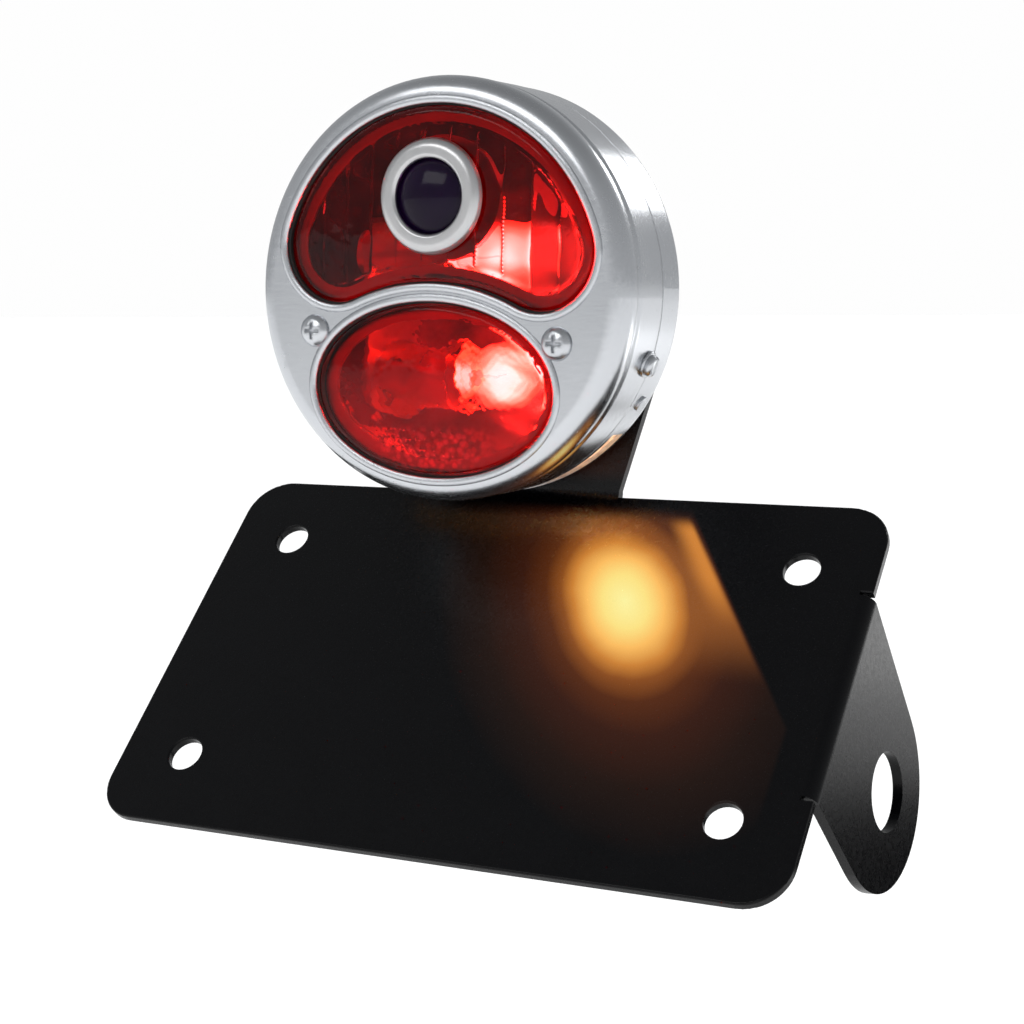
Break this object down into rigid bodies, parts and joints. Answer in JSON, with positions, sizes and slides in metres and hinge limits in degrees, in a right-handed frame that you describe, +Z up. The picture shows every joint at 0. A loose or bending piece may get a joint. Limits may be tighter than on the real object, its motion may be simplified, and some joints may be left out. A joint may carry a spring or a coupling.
{
  "type": "motorcycle tail light",
  "caption": "Round two-lens motorcycle stop and tail light with a blue dot, on a bent side-mount number plate bracket with an axle ear.",
  "frame": {"origin": "centre of the axle hole in the side ear, at half the sheet's thickness", "axes": "+X towards the side ear, +Y forwards to the motorcycle (away from the lenses), +Z up"},
  "size_m": [0.1898, 0.0905, 0.1932],
  "materials": {
    "black_powder_coat": "semi-gloss powder coat",
    "polished_stainless": "polished",
    "zinc_steel": "zinc plated",
    "spring_steel": "oiled",
    "satin_bezel": "satin",
    "red_lens": "ruby glass",
    "blue_glass": "domed",
    "clear_window": "clear, lit warm",
    "bulb_glass": "clear",
    "filament": "tungsten",
    "brass": "bare",
    "solder": "matt",
    "black_glass": "fused glass",
    "fibre": "fibre board",
    "black_rubber": "matt"
  },
  "bodies": {
    "base": {"mounting_bracket": "black_powder_coat", "lamp_housing": "polished_stainless", "window_lens": "clear_window", "window_retainer": "zinc_steel", "window_rivets": "polished_stainless", "door_screws": "polished_stainless", "door_screw_washers": "polished_stainless", "door_screw_nuts": "zinc_steel", "mount_pad": "black_rubber", "mounting_studs": "zinc_steel", "flat_washers": "zinc_steel", "lock_washers": "spring_steel", "hex_nuts": "zinc_steel", "wire_grommet": "black_rubber", "socket_bracket": "zinc_steel", "bracket_rivets": "zinc_steel", "tail_socket_shell": "brass", "tail_socket_spring": "spring_steel", "stop_socket_shell": "brass", "stop_socket_spring": "spring_steel"},
    "door": {"lens_door": "polished_stainless", "upper_gasket": "black_rubber", "lower_gasket": "black_rubber", "upper_lens": "red_lens", "lower_lens": "red_lens", "blue_dot_bezel": "satin_bezel", "blue_dot_gem": "blue_glass", "blue_dot_seal": "black_rubber", "blue_dot_nut": "zinc_steel", "lens_retainer": "zinc_steel", "lens_screws": "polished_stainless", "lens_nuts": "zinc_steel"},
    "tail_plunger": {"tail_plunger_disc": "fibre", "tail_plunger_contact": "brass"},
    "tail_bulb": {"tail_bulb_base": "brass", "tail_bulb_insulator": "black_glass", "tail_bulb_contact": "solder", "tail_bulb_glass": "bulb_glass", "tail_bulb_filament": "filament"},
    "stop_plunger": {"stop_plunger_disc": "fibre", "stop_plunger_contact": "brass"},
    "stop_bulb": {"stop_bulb_base": "brass", "stop_bulb_insulator": "black_glass", "stop_bulb_contact": "solder", "stop_bulb_glass": "bulb_glass", "stop_bulb_filament": "filament"}
  },
  "joints": [
    {"name": "door_slide", "type": "slide", "parent": "base", "child": "door", "axis": [0, -1, 0], "range_m": [0, 0.045]},
    {"name": "tail_bulb_press", "type": "slide", "parent": "base", "child": "tail_plunger", "axis": [-1, 0, 0], "range_m": [0, 0.002], "stiffness_N_per_m": 600, "springref_m": -0.006, "deforming": ["tail_socket_spring"]},
    {"name": "tail_bulb_turn", "type": "hinge", "parent": "tail_plunger", "child": "tail_bulb", "pos_m": [-0.12686, 0.00038, 0.09598], "axis": [1, 0, 0], "range_deg": [0, 25]},
    {"name": "stop_bulb_press", "type": "slide", "parent": "base", "child": "stop_plunger", "axis": [-1, 0, 0], "range_m": [0, 0.002], "stiffness_N_per_m": 600, "springref_m": -0.006, "deforming": ["stop_socket_spring"]},
    {"name": "stop_bulb_turn", "type": "hinge", "parent": "stop_plunger", "child": "stop_bulb", "pos_m": [-0.12686, 0.00038, 0.12698], "axis": [1, 0, 0], "range_deg": [0, 25]}
  ]
}
